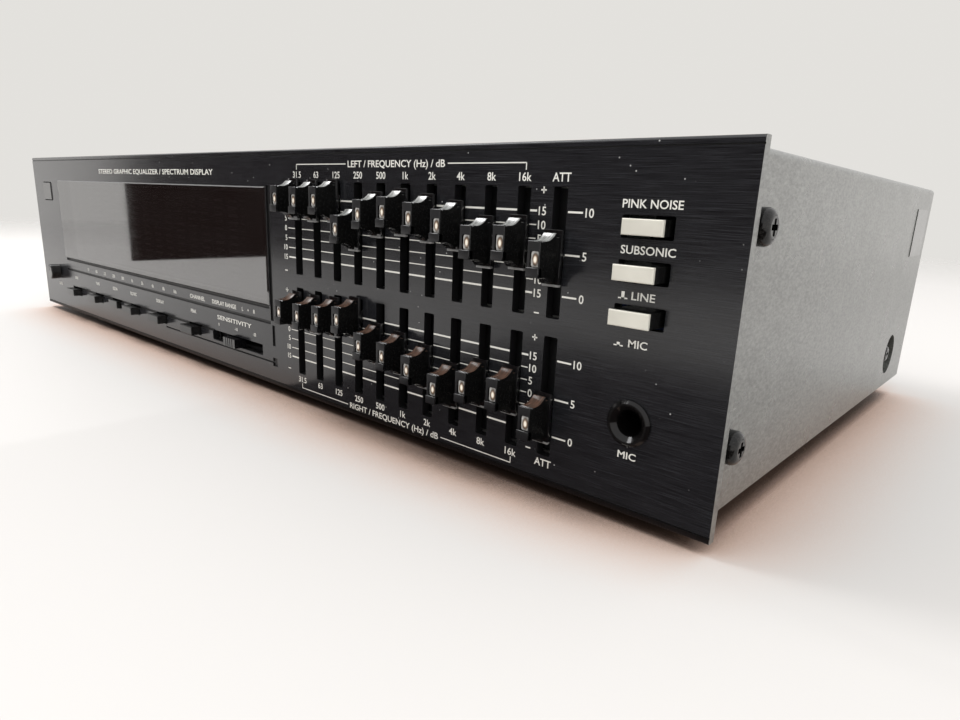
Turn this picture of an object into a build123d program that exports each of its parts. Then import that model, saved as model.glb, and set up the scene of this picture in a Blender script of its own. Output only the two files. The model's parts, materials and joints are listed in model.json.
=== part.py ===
"""Stereo graphic equalizer with a spectrum display, as an assembly of separate pieces.

The origin is at the bottom centre of the whole object, on the surface that its feet rest on.
+Z is up and the front faces -Y. Sizes are in millimetres.

Places on the front are given as on a drawing of the panel: x from the panel's left edge,
z from its lower edge, and y backwards from its front face. at_x, at_y and at_z turn them into
the object's own frame.
"""

import os

from build123d import *

os.makedirs("parts", exist_ok=True)

# ---------------------------------------------------------------- driving dimensions
PANEL_W = 432.0
PANEL_H = 86.0
PANEL_T = 2.7
PANEL_BOTTOM = 3.0          # height of the panel's lower edge above the resting surface
FOOT_H = 8.1                # the case's floor is this far above the resting surface
CASE_W = 428.0
CASE_H = 79.4
CASE_REAR = 206.5           # the cover's rear edge, behind the panel's front face
SHEET = 1.0                 # steel sheet thickness
GAP = 0.2                   # assembly gap between neighbouring sheets

SLIDER_PITCH = 10.9
SLIDER_FIRST_X = 276.9      # the lowest band's slot
SLIDER_TRAVEL = 20.0
LEFT_ROW_Z = 59.9           # the 0 dB height of the left channel, and of the right channel
RIGHT_ROW_Z = 23.8
SLOT_W = 4.1
SLOT_H = 31.5
BANDS = ["31", "63", "125", "250", "500", "1k", "2k", "4k", "8k", "16k", "att"]
LEFT_SETTINGS = [9.8, 9.5, 9.8, 1.7, 6.5, 7.6, 6.4, 5.0, 1.5, 2.1, -0.9]
RIGHT_SETTINGS = [8.0, 8.0, 8.6, 9.9, 3.3, 2.1, 0.1, -3.2, -0.3, 0.1, -4.9]

KNOB_W = 3.7
KNOB_REACH = 9.7            # the slider knobs' faces, in front of the panel
KNOB_FACE_H = 8.4
KNOB_SKIRT_W = 5.0          # the flange at the knob's rear hides the slot
KNOB_SKIRT_H = 13.5

WINDOW_LEFT = 40.6
WINDOW_RIGHT = 256.6
WINDOW_BOTTOM = 30.6
WINDOW_TOP = 73.6
WINDOW_PROUD = 0.6

BUTTON_W = 10.7
BUTTON_H = 3.55
BUTTON_LATCH = 2.2          # how much further in a latched button stands
SIDE_BUTTON_X = 409.35
SIDE_BUTTON_W = 10.0
SIDE_BUTTON_REACH = 5.0
SIDE_BUTTONS = {"pink_noise": 67.5, "subsonic": 57.7, "line_mic": 47.8}
FUNCTION_X = [53.2, 84.6, 108.2, 131.3, 161.3, 194.6]
FUNCTION_Z = 12.4
FUNCTION_REACH = 4.2
FUNCTION_LATCHED = 3        # the third button from the left is latched in

POWER_X = 21.9
POWER_Z = 67.4
POWER_W = 12.2
POWER_H = 9.4
POWER_REACH = 2.6

LEVEL_X = 25.5
LEVEL_Z = 21.3
LEVEL_R = 4.2
LEVEL_REACH = 5.4

SELECTOR_X = 230.7
SELECTOR_Z = 12.5
SELECTOR_SLOT_W = 39.4
SELECTOR_SLOT_H = 4.3
SELECTOR_KNOB_W = 9.0
SELECTOR_TRAVEL = 14.0      # each way from the middle position

JACK_X = 409.7
JACK_Z = 22.9
JACK_R = 3.25
JACK_FACE = 1.2             # the jack's nut, in front of the panel
JACK_DEPTH = 26.0

SIDE_SCREW_Y = 8.4
SIDE_SCREW_RISE = 24.0      # above and below the middle of the case's side
RECESS_Y = 177.5
RECESS_Z = 18.3
RECESS_R = 8.0
RECESS_DEPTH = 3.8

PHONO_R = 4.15
PHONO_PITCH = 18.0
PHONO_X = 346.0             # middle of the phono block
PHONO_Z = 46.0
PHONO_REACH = 9.3           # beyond the cover's rear edge
GLAND_X = 40.0
GLAND_Z = 24.0
GLAND_R = 3.6

# ---------------------------------------------------------------- the frame
DEPTH = KNOB_REACH + CASE_REAR + PHONO_REACH
PANEL_Y = KNOB_REACH - DEPTH / 2
FLOOR_TOP = FOOT_H + SHEET
CASE_TOP = FOOT_H + CASE_H
SIDE_X = CASE_W / 2
REAR_Y = CASE_REAR - 1.1    # the rear panel's outer face, just inside the cover's edge
INNER_X = SIDE_X - SHEET - 0.4


def at_x(x):
    return x - PANEL_W / 2


def at_y(y):
    return y + PANEL_Y


def at_z(z):
    return z + PANEL_BOTTOM


def front(y):
    """The upright plane y behind the panel's face. Its normal points forwards."""
    return Plane.XZ.offset(-at_y(y))


def spot(x, z):
    """A place on the panel drawing, as a point of a front() sketch."""
    return (at_x(x), at_z(z))


def save(shape, label):
    shape.label = label
    export_step(shape, f"parts/{label}.step")


def save_group(pieces, label):
    """Writes touching pieces, which stay separate solids, as one node."""
    save(Compound(children=pieces), label)


def slab(x0, x1, z0, z1, y0, y1):
    """A plain block on the panel drawing, from depth y0 back to y1."""
    with BuildPart() as block:
        with BuildSketch(front(y1)):
            with Locations(spot((x0 + x1) / 2, (z0 + z1) / 2)):
                Rectangle(x1 - x0, z1 - z0)
        extrude(amount=y1 - y0)
    return block.part


def pan_screw(head_r, head_h, shank_r, length):
    """A cross-recessed pan-head screw along Z, with the head's seat at the origin."""
    with BuildPart() as screw:
        with BuildSketch(Plane.XZ):
            with BuildLine():
                Line((0, head_h), (head_r * 0.45, head_h))
                ThreePointArc(
                    (head_r * 0.45, head_h), (head_r * 0.86, head_h * 0.84), (head_r, head_h * 0.5)
                )
                Polyline(
                    (head_r, head_h * 0.5),
                    (head_r, 0),
                    (shank_r, 0),
                    (shank_r, -length),
                    (0, -length),
                    (0, head_h),
                )
            make_face()
        revolve(axis=Axis.Z)
        with BuildSketch(Plane.XY.offset(head_h)):
            Rectangle(head_r * 1.25, head_r * 0.3)
            Rectangle(head_r * 0.3, head_r * 1.25)
        extrude(amount=-head_h * 0.6, mode=Mode.SUBTRACT)
    return screw.part


# ---------------------------------------------------------------- front panel and window
def slot_columns():
    return [SLIDER_FIRST_X + SLIDER_PITCH * i for i in range(len(BANDS))]


ROWS = {"left": LEFT_ROW_Z, "right": RIGHT_ROW_Z}
SLIDER_SPOTS = [spot(x, z) for z in ROWS.values() for x in slot_columns()]
SIDE_SPOTS = [spot(SIDE_BUTTON_X, z) for z in SIDE_BUTTONS.values()]
FUNCTION_SPOTS = [spot(x, FUNCTION_Z) for x in FUNCTION_X]

EDGE_BAND = 1.7             # width of the rolled bands along the panel's long edges
LINE_W = 1.3                # decorative grooves under the window
GROOVES = [                 # x0, x1, z0, z1
    (WINDOW_RIGHT + 0.4, WINDOW_RIGHT + 2.4, 25.0, 74.0),
    (WINDOW_RIGHT + 1.2, WINDOW_RIGHT + 3.0, 15.4, 23.3),
    (WINDOW_RIGHT + 0.9, WINDOW_RIGHT + 3.9, 7.5, 10.8),
    (WINDOW_LEFT + 0.3, WINDOW_RIGHT - 0.3, WINDOW_BOTTOM - LINE_W, WINDOW_BOTTOM + 0.5),
    (WINDOW_LEFT, WINDOW_RIGHT + 0.2, 23.5, 23.5 + LINE_W),
    (FUNCTION_X[0] - 7.0, SELECTOR_X - SELECTOR_SLOT_W / 2 + 2.0, 13.9, 15.1),
    (166.0, WINDOW_RIGHT + 0.9, 8.6, 9.3),
]

with BuildPart() as front_panel:
    with BuildSketch(front(PANEL_T)):
        with Locations((0, PANEL_BOTTOM + PANEL_H / 2)):
            Rectangle(PANEL_W, PANEL_H)
    extrude(amount=PANEL_T)
    long_edges = front_panel.edges().filter_by(Axis.X).group_by(Axis.Y)[0]
    fillet(long_edges, 0.7)
    with BuildSketch(front(PANEL_T)):
        with Locations(spot((WINDOW_LEFT + WINDOW_RIGHT) / 2, (WINDOW_BOTTOM + WINDOW_TOP) / 2)):
            Rectangle(WINDOW_RIGHT - WINDOW_LEFT, WINDOW_TOP - WINDOW_BOTTOM)
        with Locations(*SLIDER_SPOTS):
            RectangleRounded(SLOT_W, SLOT_H, 0.5)
        with Locations(*SIDE_SPOTS):
            RectangleRounded(SIDE_BUTTON_W + 2.8, BUTTON_H + 1.5, 0.4)
        with Locations(*FUNCTION_SPOTS):
            RectangleRounded(BUTTON_W + 1.2, BUTTON_H + 1.0, 0.4)
        with Locations(spot(POWER_X, POWER_Z)):
            RectangleRounded(POWER_W + 1.0, POWER_H + 1.0, 0.6)
        with Locations(spot(SELECTOR_X, SELECTOR_Z)):
            RectangleRounded(SELECTOR_SLOT_W, SELECTOR_SLOT_H, 0.4)
        with Locations(spot(LEVEL_X, LEVEL_Z)):
            Circle(2.6)
        with Locations(spot(JACK_X, JACK_Z)):
            Circle(4.6)
    extrude(amount=PANEL_T, mode=Mode.SUBTRACT)
    with BuildSketch(front(0)):
        for x0, x1, z0, z1 in GROOVES:
            with Locations(spot((x0 + x1) / 2, (z0 + z1) / 2)):
                Rectangle(x1 - x0, z1 - z0)
    extrude(amount=-0.5, mode=Mode.SUBTRACT)
    with BuildSketch(front(0)):
        with Locations((0, at_z(EDGE_BAND)), (0, at_z(PANEL_H - EDGE_BAND))):
            Rectangle(PANEL_W, 0.4)
    extrude(amount=-0.25, mode=Mode.SUBTRACT)
save(front_panel.part, "front_panel")

with BuildPart() as display_window:
    with BuildSketch(front(PANEL_T)):
        with Locations(spot((WINDOW_LEFT + WINDOW_RIGHT) / 2, (WINDOW_BOTTOM + WINDOW_TOP) / 2)):
            Rectangle(WINDOW_RIGHT - WINDOW_LEFT, WINDOW_TOP - WINDOW_BOTTOM)
    extrude(amount=PANEL_T + WINDOW_PROUD)
    chamfer(display_window.faces().sort_by(Axis.Y)[0].edges(), 0.45)
save(display_window.part, "display_window")

TUBE_FRONT = 4.6
TUBE_DEPTH = 6.5
with BuildPart() as display_tube:
    with BuildSketch(front(TUBE_FRONT + TUBE_DEPTH)):
        with Locations(spot(150.0, 51.5)):
            RectangleRounded(192.0, 38.0, 1.5)
    extrude(amount=TUBE_DEPTH)
save(display_tube.part, "display_tube")

with BuildPart() as display_board:
    with BuildSketch(front(TUBE_FRONT + TUBE_DEPTH + 1.6)):
        with Locations(spot(150.0, 51.5)):
            Rectangle(206.0, 43.0)
        with Locations(spot(51.0, 33.0), spot(51.0, 70.0), spot(249.0, 33.0), spot(249.0, 70.0)):
            Circle(1.6, mode=Mode.SUBTRACT)
    extrude(amount=1.6)
save(display_board.part, "display_board")

# ---------------------------------------------------------------- sub-frame behind the panel
SUBFRAME_Y = PANEL_T + 0.3
FLANGE_DEPTH = 15.0


def right_side(x):
    """The upright plane at X = x, facing right: its first direction is Y, its second Z."""
    return Plane.YZ.offset(x)


SIDE_MIDDLE_Z = FOOT_H + CASE_H / 2
SIDE_SCREW_SPOTS = [
    (at_y(SIDE_SCREW_Y), SIDE_MIDDLE_Z + SIDE_SCREW_RISE),
    (at_y(SIDE_SCREW_Y), SIDE_MIDDLE_Z - SIDE_SCREW_RISE),
]

with BuildPart() as front_subframe:
    with BuildSketch(front(SUBFRAME_Y + SHEET)):
        with Locations((0, (FLOOR_TOP + GAP + CASE_TOP - SHEET - GAP) / 2)):
            Rectangle(2 * INNER_X, CASE_H - 2 * SHEET - 2 * GAP)
        with Locations(spot(150.0, 51.5)):
            Rectangle(200.0, 40.0, mode=Mode.SUBTRACT)
        with Locations(spot(331.4, LEFT_ROW_Z), spot(331.4, RIGHT_ROW_Z)):
            Rectangle(122.0, 31.0, mode=Mode.SUBTRACT)
        with Locations(*SIDE_SPOTS):
            Rectangle(SIDE_BUTTON_W + 3.4, BUTTON_H + 2.0, mode=Mode.SUBTRACT)
        with Locations(spot(124.0, FUNCTION_Z)):
            Rectangle(160.0, 6.4, mode=Mode.SUBTRACT)
        with Locations(spot(SELECTOR_X, SELECTOR_Z)):
            Rectangle(SELECTOR_SLOT_W + 2, 6.4, mode=Mode.SUBTRACT)
        with Locations(spot(POWER_X, POWER_Z)):
            Rectangle(POWER_W + 2, POWER_H + 2, mode=Mode.SUBTRACT)
        with Locations(spot(LEVEL_X, LEVEL_Z)):
            Circle(3.2, mode=Mode.SUBTRACT)
        with Locations(spot(JACK_X, JACK_Z)):
            Circle(5.0, mode=Mode.SUBTRACT)
    extrude(amount=SHEET)
    for side in (-1, 1):
        with BuildSketch(right_side(side * INNER_X)):
            with Locations((at_y(SUBFRAME_Y + SHEET + FLANGE_DEPTH / 2), SIDE_MIDDLE_Z)):
                Rectangle(FLANGE_DEPTH, CASE_H - 10)
        extrude(amount=-side * SHEET)
        with BuildSketch(right_side(side * INNER_X)):
            with Locations(*SIDE_SCREW_SPOTS):
                Circle(2.0)
        extrude(amount=-side * SHEET, mode=Mode.SUBTRACT)
save(front_subframe.part, "front_subframe")

# ---------------------------------------------------------------- sliders
HOUSING_FRONT = 5.0
HOUSING_DEPTH = 7.0
LEVER_W = 1.2
LEVER_H = 4.0
LEVER_REAR = 9.0
SKIRT_REAR = -1.0           # the knob's skirt stands this far off the panel
SKIRT_T = 1.0
LENS_W = 1.9
LENS_H = 3.8
LENS_DEPTH = 1.4


def slider(label, x, z):
    """A slider: knob, light-pipe lens and lever, centred on x, z of the panel drawing."""
    centre = (at_x(x), PANEL_Y, at_z(z))
    side = Plane(origin=centre, x_dir=(0, 1, 0), z_dir=(1, 0, 0))
    face = Plane(origin=centre, x_dir=(1, 0, 0), z_dir=(0, -1, 0))
    face_y = 0.4 - KNOB_REACH
    half_face = KNOB_FACE_H / 2
    skirt_y = SKIRT_REAR - SKIRT_T
    with BuildPart() as knob:
        with BuildSketch(side):
            with BuildLine():
                Line((face_y, half_face), (-6.6, half_face))
                TangentArc((-6.6, half_face), (-3.4, 6.0), tangent=(1, 0))
                Polyline(
                    (-3.4, 6.0),
                    (-2.9, 6.0),
                    (-2.9, 5.0),
                    (skirt_y, 5.0),
                    (skirt_y, -5.0),
                    (-2.9, -5.0),
                    (-2.9, -6.0),
                    (-3.4, -6.0),
                )
                TangentArc((-6.6, -half_face), (-3.4, -6.0), tangent=(1, 0))
                Polyline(
                    (-6.6, -half_face),
                    (-KNOB_REACH, -half_face),
                    (-KNOB_REACH, -1.9),
                    (face_y, -1.9),
                    (face_y, half_face),
                )
            make_face()
        extrude(amount=KNOB_W / 2, both=True)
        rims = knob.edges().filter_by(Axis.Z).group_by(Axis.Y)[:2]
        fillet(rims[0] + rims[1], 0.25)
        with BuildSketch(face.offset(-SKIRT_REAR)):
            Rectangle(KNOB_SKIRT_W, KNOB_SKIRT_H)
        extrude(amount=SKIRT_T)
        with BuildSketch(face.offset(KNOB_REACH)):
            with Locations((0.05, 0.05)):
                Rectangle(LENS_W + 0.9, LENS_H)
        extrude(amount=-(LENS_DEPTH + 0.4), mode=Mode.SUBTRACT)
        with BuildSketch(face.offset(-SKIRT_REAR)):
            Rectangle(LEVER_W, LEVER_H)
        extrude(amount=3.0, mode=Mode.SUBTRACT)
    with BuildPart() as lens:
        with BuildSketch(face.offset(-face_y - 0.1)):
            with Locations((0.5, 0.05)):
                Rectangle(LENS_W, LENS_H)
        extrude(amount=-(LENS_DEPTH - 0.1))
    with BuildPart() as lever:
        with BuildSketch(face.offset(-LEVER_REAR)):
            Rectangle(LEVER_W, LEVER_H)
        extrude(amount=LEVER_REAR - SKIRT_REAR + 3.0)
    save_group([knob.part, lens.part, lever.part], label)


for channel, row_z, settings in (
    ("left", LEFT_ROW_Z, LEFT_SETTINGS),
    ("right", RIGHT_ROW_Z, RIGHT_SETTINGS),
):
    for band, column, setting in zip(BANDS, slot_columns(), settings):
        slider(f"slider_{channel}_{band}", column, row_z + setting)

with BuildPart() as slider_housings:
    with BuildSketch(front(HOUSING_FRONT + HOUSING_DEPTH)):
        with Locations(*SLIDER_SPOTS):
            Rectangle(8.6, 34.0)
    extrude(amount=HOUSING_DEPTH)
    with BuildSketch(front(HOUSING_FRONT)):
        with Locations(*SLIDER_SPOTS):
            Rectangle(LEVER_W + 0.8, SLIDER_TRAVEL + LEVER_H + 1.5)
    extrude(amount=-5.0, mode=Mode.SUBTRACT)
save(slider_housings.part, "slider_housings")

save(slab(266.0, 397.0, 7.0, 82.0, 12.0, 13.6), "slider_board")

# ---------------------------------------------------------------- push buttons and their switches
SWITCH_FRONT = 16.0
STEM = 3.0
STEM_REACH = 2.0            # how far a button's stem stands in its switch at rest, when out
SWITCH_HOLE_DEPTH = 7.0


def push_button(label, x, z, width, height, reach, latched, cap_back=8.0):
    """A light face plate on a dark cap, with a square stem behind."""
    shift = BUTTON_LATCH if latched else 0.0
    face_y = shift - reach
    plate = 0.9
    with BuildPart() as cap:
        with BuildSketch(front(cap_back + shift)):
            with Locations(spot(x, z)):
                Rectangle(width, height)
        extrude(amount=cap_back + shift - face_y - plate)
        with BuildSketch(front(SWITCH_FRONT + STEM_REACH + shift)):
            with Locations(spot(x, z)):
                Rectangle(STEM, STEM)
        extrude(amount=SWITCH_FRONT + STEM_REACH - cap_back)
    with BuildPart() as facing:
        with BuildSketch(front(face_y + plate)):
            with Locations(spot(x, z)):
                Rectangle(width, height)
        extrude(amount=plate)
        fillet(facing.faces().sort_by(Axis.Y)[0].edges(), 0.3)
    save_group([cap.part, facing.part], label)


for button, button_z in SIDE_BUTTONS.items():
    push_button(
        f"button_{button}",
        SIDE_BUTTON_X,
        button_z,
        SIDE_BUTTON_W,
        BUTTON_H,
        SIDE_BUTTON_REACH,
        button == "pink_noise",
    )
for number, button_x in enumerate(FUNCTION_X, start=1):
    push_button(
        f"button_function_{number}",
        button_x,
        FUNCTION_Z,
        BUTTON_W,
        BUTTON_H,
        FUNCTION_REACH,
        number == FUNCTION_LATCHED,
    )
push_button("button_power", POWER_X, POWER_Z, POWER_W, POWER_H, POWER_REACH, True)

with BuildPart() as push_switches:
    with BuildSketch(front(SWITCH_FRONT + 18.0)):
        with Locations(*SIDE_SPOTS, *FUNCTION_SPOTS):
            Rectangle(13.0, 8.0)
        with Locations(spot(POWER_X, POWER_Z)):
            Rectangle(18.0, 15.0)
    extrude(amount=18.0)
    with BuildSketch(front(SWITCH_FRONT)):
        with Locations(*SIDE_SPOTS, *FUNCTION_SPOTS, spot(POWER_X, POWER_Z)):
            Rectangle(STEM + 0.7, STEM + 0.7)
    extrude(amount=-SWITCH_HOLE_DEPTH, mode=Mode.SUBTRACT)
save(push_switches.part, "push_switches")

# ---------------------------------------------------------------- level knob and selector
SHAFT_R = 2.0
POT_FRONT = 5.0

with BuildPart() as level_knob:
    with BuildSketch(front(-0.6)):
        with Locations(spot(LEVEL_X, LEVEL_Z)):
            Circle(LEVEL_R)
    extrude(amount=LEVEL_REACH - 0.6)
    fillet(level_knob.faces().sort_by(Axis.Y)[0].edges(), 0.5)
    with BuildSketch(front(-LEVEL_REACH)):
        with Locations(spot(LEVEL_X, LEVEL_Z + LEVEL_R * 0.6)):
            Rectangle(0.6, LEVEL_R * 0.9)
    extrude(amount=-0.4, mode=Mode.SUBTRACT)
    with BuildSketch(front(10.0)):
        with Locations(spot(LEVEL_X, LEVEL_Z)):
            Circle(SHAFT_R)
    extrude(amount=10.6)
save(level_knob.part, "level_knob")

with BuildPart() as level_pot:
    with BuildSketch(front(POT_FRONT + 8.0)):
        with Locations(spot(LEVEL_X, LEVEL_Z)):
            RectangleRounded(13.0, 13.0, 1.0)
    extrude(amount=8.0)
    with BuildSketch(front(POT_FRONT)):
        with Locations(spot(LEVEL_X, LEVEL_Z)):
            Circle(SHAFT_R + 0.1)
    extrude(amount=-6.5, mode=Mode.SUBTRACT)
save(level_pot.part, "level_pot")

with BuildPart() as selector_knob:
    with BuildSketch(front(1.5)):
        with Locations(spot(SELECTOR_X, SELECTOR_Z)):
            Rectangle(SELECTOR_KNOB_W, SELECTOR_SLOT_H - 0.7)
    extrude(amount=5.0)
    with BuildSketch(front(-3.5)):
        with Locations(*(spot(SELECTOR_X + step, SELECTOR_Z) for step in (-2.4, -0.8, 0.8, 2.4))):
            Rectangle(0.5, SELECTOR_SLOT_H)
    extrude(amount=-0.5, mode=Mode.SUBTRACT)
    with BuildSketch(front(8.5)):
        with Locations(spot(SELECTOR_X, SELECTOR_Z)):
            Rectangle(2.4, 2.2)
    extrude(amount=7.0)
save(selector_knob.part, "selector_knob")

with BuildPart() as selector_switch:
    with BuildSketch(front(12.0)):
        with Locations(spot(SELECTOR_X, SELECTOR_Z)):
            Rectangle(46.0, 8.4)
    extrude(amount=7.0)
    with BuildSketch(front(5.0)):
        with Locations(spot(SELECTOR_X, SELECTOR_Z)):
            Rectangle(2 * SELECTOR_TRAVEL + 3.6, 3.0)
    extrude(amount=-4.5, mode=Mode.SUBTRACT)
save(selector_switch.part, "selector_switch")

# ---------------------------------------------------------------- microphone jack
with BuildPart() as mic_jack_socket:
    with BuildSketch(front(JACK_DEPTH + 2.0)):
        with Locations(spot(JACK_X, JACK_Z)):
            Rectangle(14.0, 14.0)
    extrude(amount=JACK_DEPTH + 2.0 - SUBFRAME_Y - SHEET)
    with BuildSketch(front(SUBFRAME_Y + SHEET)):
        with Locations(spot(JACK_X, JACK_Z)):
            Circle(4.5)
    extrude(amount=SUBFRAME_Y + SHEET + JACK_FACE)
    with BuildSketch(front(-JACK_FACE)):
        with Locations(spot(JACK_X, JACK_Z)):
            Circle(JACK_R)
    extrude(amount=-(JACK_DEPTH + JACK_FACE), mode=Mode.SUBTRACT)
    mouth = mic_jack_socket.edges().filter_by(GeomType.CIRCLE).group_by(Axis.Y)[0]
    chamfer(mouth.sort_by(SortBy.RADIUS)[0], 1.15)
save(mic_jack_socket.part, "mic_jack_socket")

with BuildPart() as mic_jack_nut:
    with BuildSketch(front(0)):
        with Locations(spot(JACK_X, JACK_Z)):
            Circle(5.6)
    extrude(amount=JACK_FACE)
    chamfer(mic_jack_nut.faces().sort_by(Axis.Y)[0].edges(), 0.7)
    with BuildSketch(front(0)):
        with Locations(spot(JACK_X, JACK_Z)):
            Circle(4.5)
    extrude(amount=JACK_FACE, mode=Mode.SUBTRACT)
save(mic_jack_nut.part, "mic_jack_nut")

# ---------------------------------------------------------------- case
FOOT_SPOTS = [(x, at_y(y)) for x in (-175.0, 175.0) for y in (32.0, 176.0)]
BOARD_MIDDLE = (75.0, at_y(112.0))
BOARD_W = 236.0
BOARD_D = 126.0
BOSS_H = 8.0
BOARD_BOTTOM = FLOOR_TOP + BOSS_H
BOARD_TOP = BOARD_BOTTOM + 1.6
TRANSFORMER_X = -150.0
TRANSFORMER_Y = at_y(128.0)
TRANSFORMER_LUGS = [
    (TRANSFORMER_X + dx, TRANSFORMER_Y + dy) for dx in (-38.0, 38.0) for dy in (-11.0, 11.0)
]
with GridLocations(BOARD_W - 14.0, BOARD_D - 14.0, 2, 2) as board_grid:
    BOARD_SPOTS = [
        (BOARD_MIDDLE[0] + place.position.X, BOARD_MIDDLE[1] + place.position.Y)
        for place in board_grid.local_locations
    ]

TRAY_FRONT = at_y(SUBFRAME_Y + SHEET + GAP)
TRAY_REAR = at_y(REAR_Y - SHEET - GAP)
with BuildPart() as chassis_tray:
    with BuildSketch(Plane.XY.offset(FOOT_H)):
        with Locations((0, (TRAY_FRONT + TRAY_REAR) / 2)):
            Rectangle(2 * INNER_X, TRAY_REAR - TRAY_FRONT)
    extrude(amount=SHEET)
    for side in (-1, 1):
        with BuildSketch(right_side(side * INNER_X)):
            with Locations((at_y(91.0), FOOT_H + 5.5)):
                Rectangle(138.0, 11.0)
        extrude(amount=-side * SHEET)
    with BuildSketch(Plane.XY.offset(FLOOR_TOP)):
        with Locations(*BOARD_SPOTS):
            Circle(4.0)
    extrude(amount=BOSS_H)
    with BuildSketch(Plane.XY.offset(FOOT_H)):
        with Locations(*BOARD_SPOTS, *FOOT_SPOTS, *TRANSFORMER_LUGS):
            Circle(1.6)
        with Locations((TRANSFORMER_X, at_y(76.0)), (75.0, at_y(112.0))):
            with GridLocations(7.0, 34.0, 12, 2):
                SlotOverall(28.0, 3.0, rotation=90)
    extrude(amount=SHEET + BOSS_H, mode=Mode.SUBTRACT)
save(chassis_tray.part, "chassis_tray")

FLAP_Y0 = 178.7             # the raised flap on the cover's right side
FLAP_Y1 = 200.7
FLAP_Z0 = 57.8
FLAP_Z1 = 76.1
FLAP_RISE = 0.25
COVER_FRONT = PANEL_T + GAP
COVER_FLANGE_H = 10.0
RECESS_SPOT = (at_y(RECESS_Y), at_z(RECESS_Z))
REAR_SCREW_X = [-160.0, -55.0, 55.0, 160.0]
REAR_SCREW_Z = CASE_TOP - SHEET - GAP - 5.5

with BuildPart() as top_cover:
    with BuildSketch(front(CASE_REAR)):
        with Locations((0, SIDE_MIDDLE_Z)):
            Rectangle(CASE_W, CASE_H)
    extrude(amount=CASE_REAR - COVER_FRONT)
    top_edges = top_cover.edges().filter_by(Axis.Y).group_by(Axis.Z)[-1]
    fillet(top_edges, 1.8)
    with BuildSketch(front(CASE_REAR)):
        with Locations((0, SIDE_MIDDLE_Z - SHEET)):
            Rectangle(CASE_W - 2 * SHEET, CASE_H)
    extrude(amount=CASE_REAR - COVER_FRONT, mode=Mode.SUBTRACT)
    for side in (-1, 1):
        with BuildSketch(right_side(side * (SIDE_X - SHEET - RECESS_DEPTH + SHEET))):
            with Locations(RECESS_SPOT):
                Circle(RECESS_R + 1.0)
        extrude(amount=side * (RECESS_DEPTH - 0.4))
        with BuildSketch(right_side(side * SIDE_X)):
            with Locations(RECESS_SPOT):
                Circle(RECESS_R)
        extrude(amount=-side * (RECESS_DEPTH - SHEET), mode=Mode.SUBTRACT)
        with BuildSketch(right_side(side * SIDE_X)):
            with Locations(RECESS_SPOT, *SIDE_SCREW_SPOTS):
                Circle(2.3)
        extrude(amount=-side * (RECESS_DEPTH + SHEET), mode=Mode.SUBTRACT)
    with BuildSketch(Plane.XY.offset(at_z(FLAP_Z0))):
        with BuildLine():
            Polyline(
                (SIDE_X - 0.3, at_y(FLAP_Y0)),
                (SIDE_X + FLAP_RISE, at_y(FLAP_Y0)),
                (SIDE_X + 0.15, at_y(FLAP_Y1)),
                (SIDE_X - 0.3, at_y(FLAP_Y1)),
                close=True,
            )
        make_face()
    extrude(amount=FLAP_Z1 - FLAP_Z0)
    with BuildSketch(front(REAR_Y - SHEET - GAP)):
        with Locations((0, CASE_TOP - SHEET / 2 - COVER_FLANGE_H / 2)):
            Rectangle(CASE_W - 30.0, COVER_FLANGE_H)
    extrude(amount=SHEET)
    with BuildSketch(front(REAR_Y)):
        with Locations(*((x, REAR_SCREW_Z) for x in REAR_SCREW_X)):
            Circle(1.6)
    extrude(amount=SHEET * 3, mode=Mode.SUBTRACT)
    with BuildSketch(Plane.XY.offset(CASE_TOP)):
        for x in (-118.0, 118.0):
            with Locations((x, at_y(140.0))):
                with GridLocations(7.0, 36.0, 22, 2):
                    SlotOverall(30.0, 3.0, rotation=90)
    extrude(amount=-2 * SHEET, mode=Mode.SUBTRACT)
save(top_cover.part, "top_cover")

PHONO_BODY_W = 74.0
PHONO_BODY_H = 38.0
PHONO_PLATE_T = 1.6
TAB_X = SIDE_X - RECESS_DEPTH - GAP - SHEET
PHONO_SCREW_SPOTS = [spot(PHONO_X - 41.5, PHONO_Z), spot(PHONO_X + 41.5, PHONO_Z)]

with BuildPart() as rear_panel:
    with BuildSketch(front(REAR_Y)):
        with Locations((0, (FLOOR_TOP + CASE_TOP - SHEET - GAP) / 2)):
            Rectangle(2 * INNER_X, CASE_H - 2 * SHEET - GAP)
        with Locations(spot(PHONO_X, PHONO_Z)):
            Rectangle(PHONO_BODY_W + 0.4, PHONO_BODY_H + 0.4, mode=Mode.SUBTRACT)
        with Locations(spot(GLAND_X, GLAND_Z)):
            Circle(6.0, mode=Mode.SUBTRACT)
        with Locations(*PHONO_SCREW_SPOTS, *((x, REAR_SCREW_Z) for x in REAR_SCREW_X)):
            Circle(1.6, mode=Mode.SUBTRACT)
    extrude(amount=SHEET)
    with BuildSketch(Plane.XY.offset(FLOOR_TOP)):
        with Locations((0, at_y(REAR_Y - SHEET - 6.0))):
            Rectangle(2 * INNER_X - 40.0, 12.0)
    extrude(amount=SHEET)
    for side in (-1, 1):
        with BuildSketch(right_side(side * TAB_X)):
            with Locations((at_y(REAR_Y - SHEET - 18.0), at_z(RECESS_Z))):
                Rectangle(36.0, 22.0)
        extrude(amount=side * SHEET)
        with BuildSketch(right_side(side * TAB_X)):
            with Locations(RECESS_SPOT):
                Circle(2.0)
        extrude(amount=side * SHEET, mode=Mode.SUBTRACT)
save(rear_panel.part, "rear_panel")

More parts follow.
